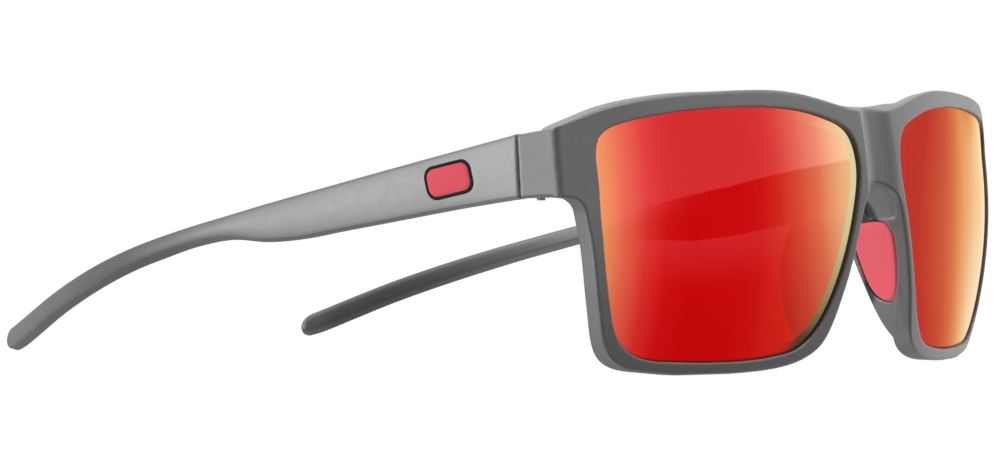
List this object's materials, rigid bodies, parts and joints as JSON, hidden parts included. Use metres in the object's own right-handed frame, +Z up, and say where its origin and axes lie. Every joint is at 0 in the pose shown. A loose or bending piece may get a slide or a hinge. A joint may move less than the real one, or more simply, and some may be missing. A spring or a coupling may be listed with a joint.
{
  "type": "wraparound sport sunglasses",
  "caption": "Wraparound sport sunglasses with squared mirror lenses in a matte plastic front, soft nose pads and folding temples that taper, bow inwards and carry a small inset badge.",
  "frame": {"origin": "centre of the footprint in X and Y, on the plane the open glasses rest on (rim bottoms and temple tips)", "axes": "+Z up, the front faces -Y, the temples run back to +Y, the wearer's right hand side is -X; the glasses are mirror-symmetric about X = 0"},
  "size_m": [0.1452, 0.1512, 0.0475],
  "materials": {
    "frame_plastic": "matte, fine grain",
    "lens_mirror": "red mirror coating on a moulded lens",
    "pad_rubber": "soft matte, coral",
    "hinge_steel": "dull, darkened",
    "screw_steel": "bright heads",
    "badge_black": "satin black",
    "badge_coral": "satin coral"
  },
  "bodies": {
    "front": {"front_frame": "frame_plastic", "lens_right": "lens_mirror", "lens_left": "lens_mirror", "nose_pad_right": "pad_rubber", "nose_pad_left": "pad_rubber", "front_hinge_leaf_right": "hinge_steel", "front_hinge_leaf_left": "hinge_steel", "front_leaf_screws_right": "screw_steel", "front_leaf_screws_left": "screw_steel", "hinge_screw_right": "screw_steel", "hinge_screw_left": "screw_steel"},
    "temple_right": {"temple_arm_right": "frame_plastic", "temple_hinge_leaf_right": "hinge_steel", "temple_leaf_screws_right": "screw_steel", "badge_surround_right": "badge_black", "badge_inlay_right": "badge_coral"},
    "temple_left": {"temple_arm_left": "frame_plastic", "temple_hinge_leaf_left": "hinge_steel", "temple_leaf_screws_left": "screw_steel", "badge_surround_left": "badge_black", "badge_inlay_left": "badge_coral"}
  },
  "joints": [
    {"name": "fold_right", "type": "hinge", "parent": "front", "child": "temple_right", "pos_m": [-0.0666, -0.04884, 0.034], "axis": [0, 0, -1], "range_deg": [0, 76]},
    {"name": "fold_left", "type": "hinge", "parent": "front", "child": "temple_left", "pos_m": [0.0666, -0.04884, 0.034], "axis": [0, 0, 1], "range_deg": [0, 82]}
  ]
}
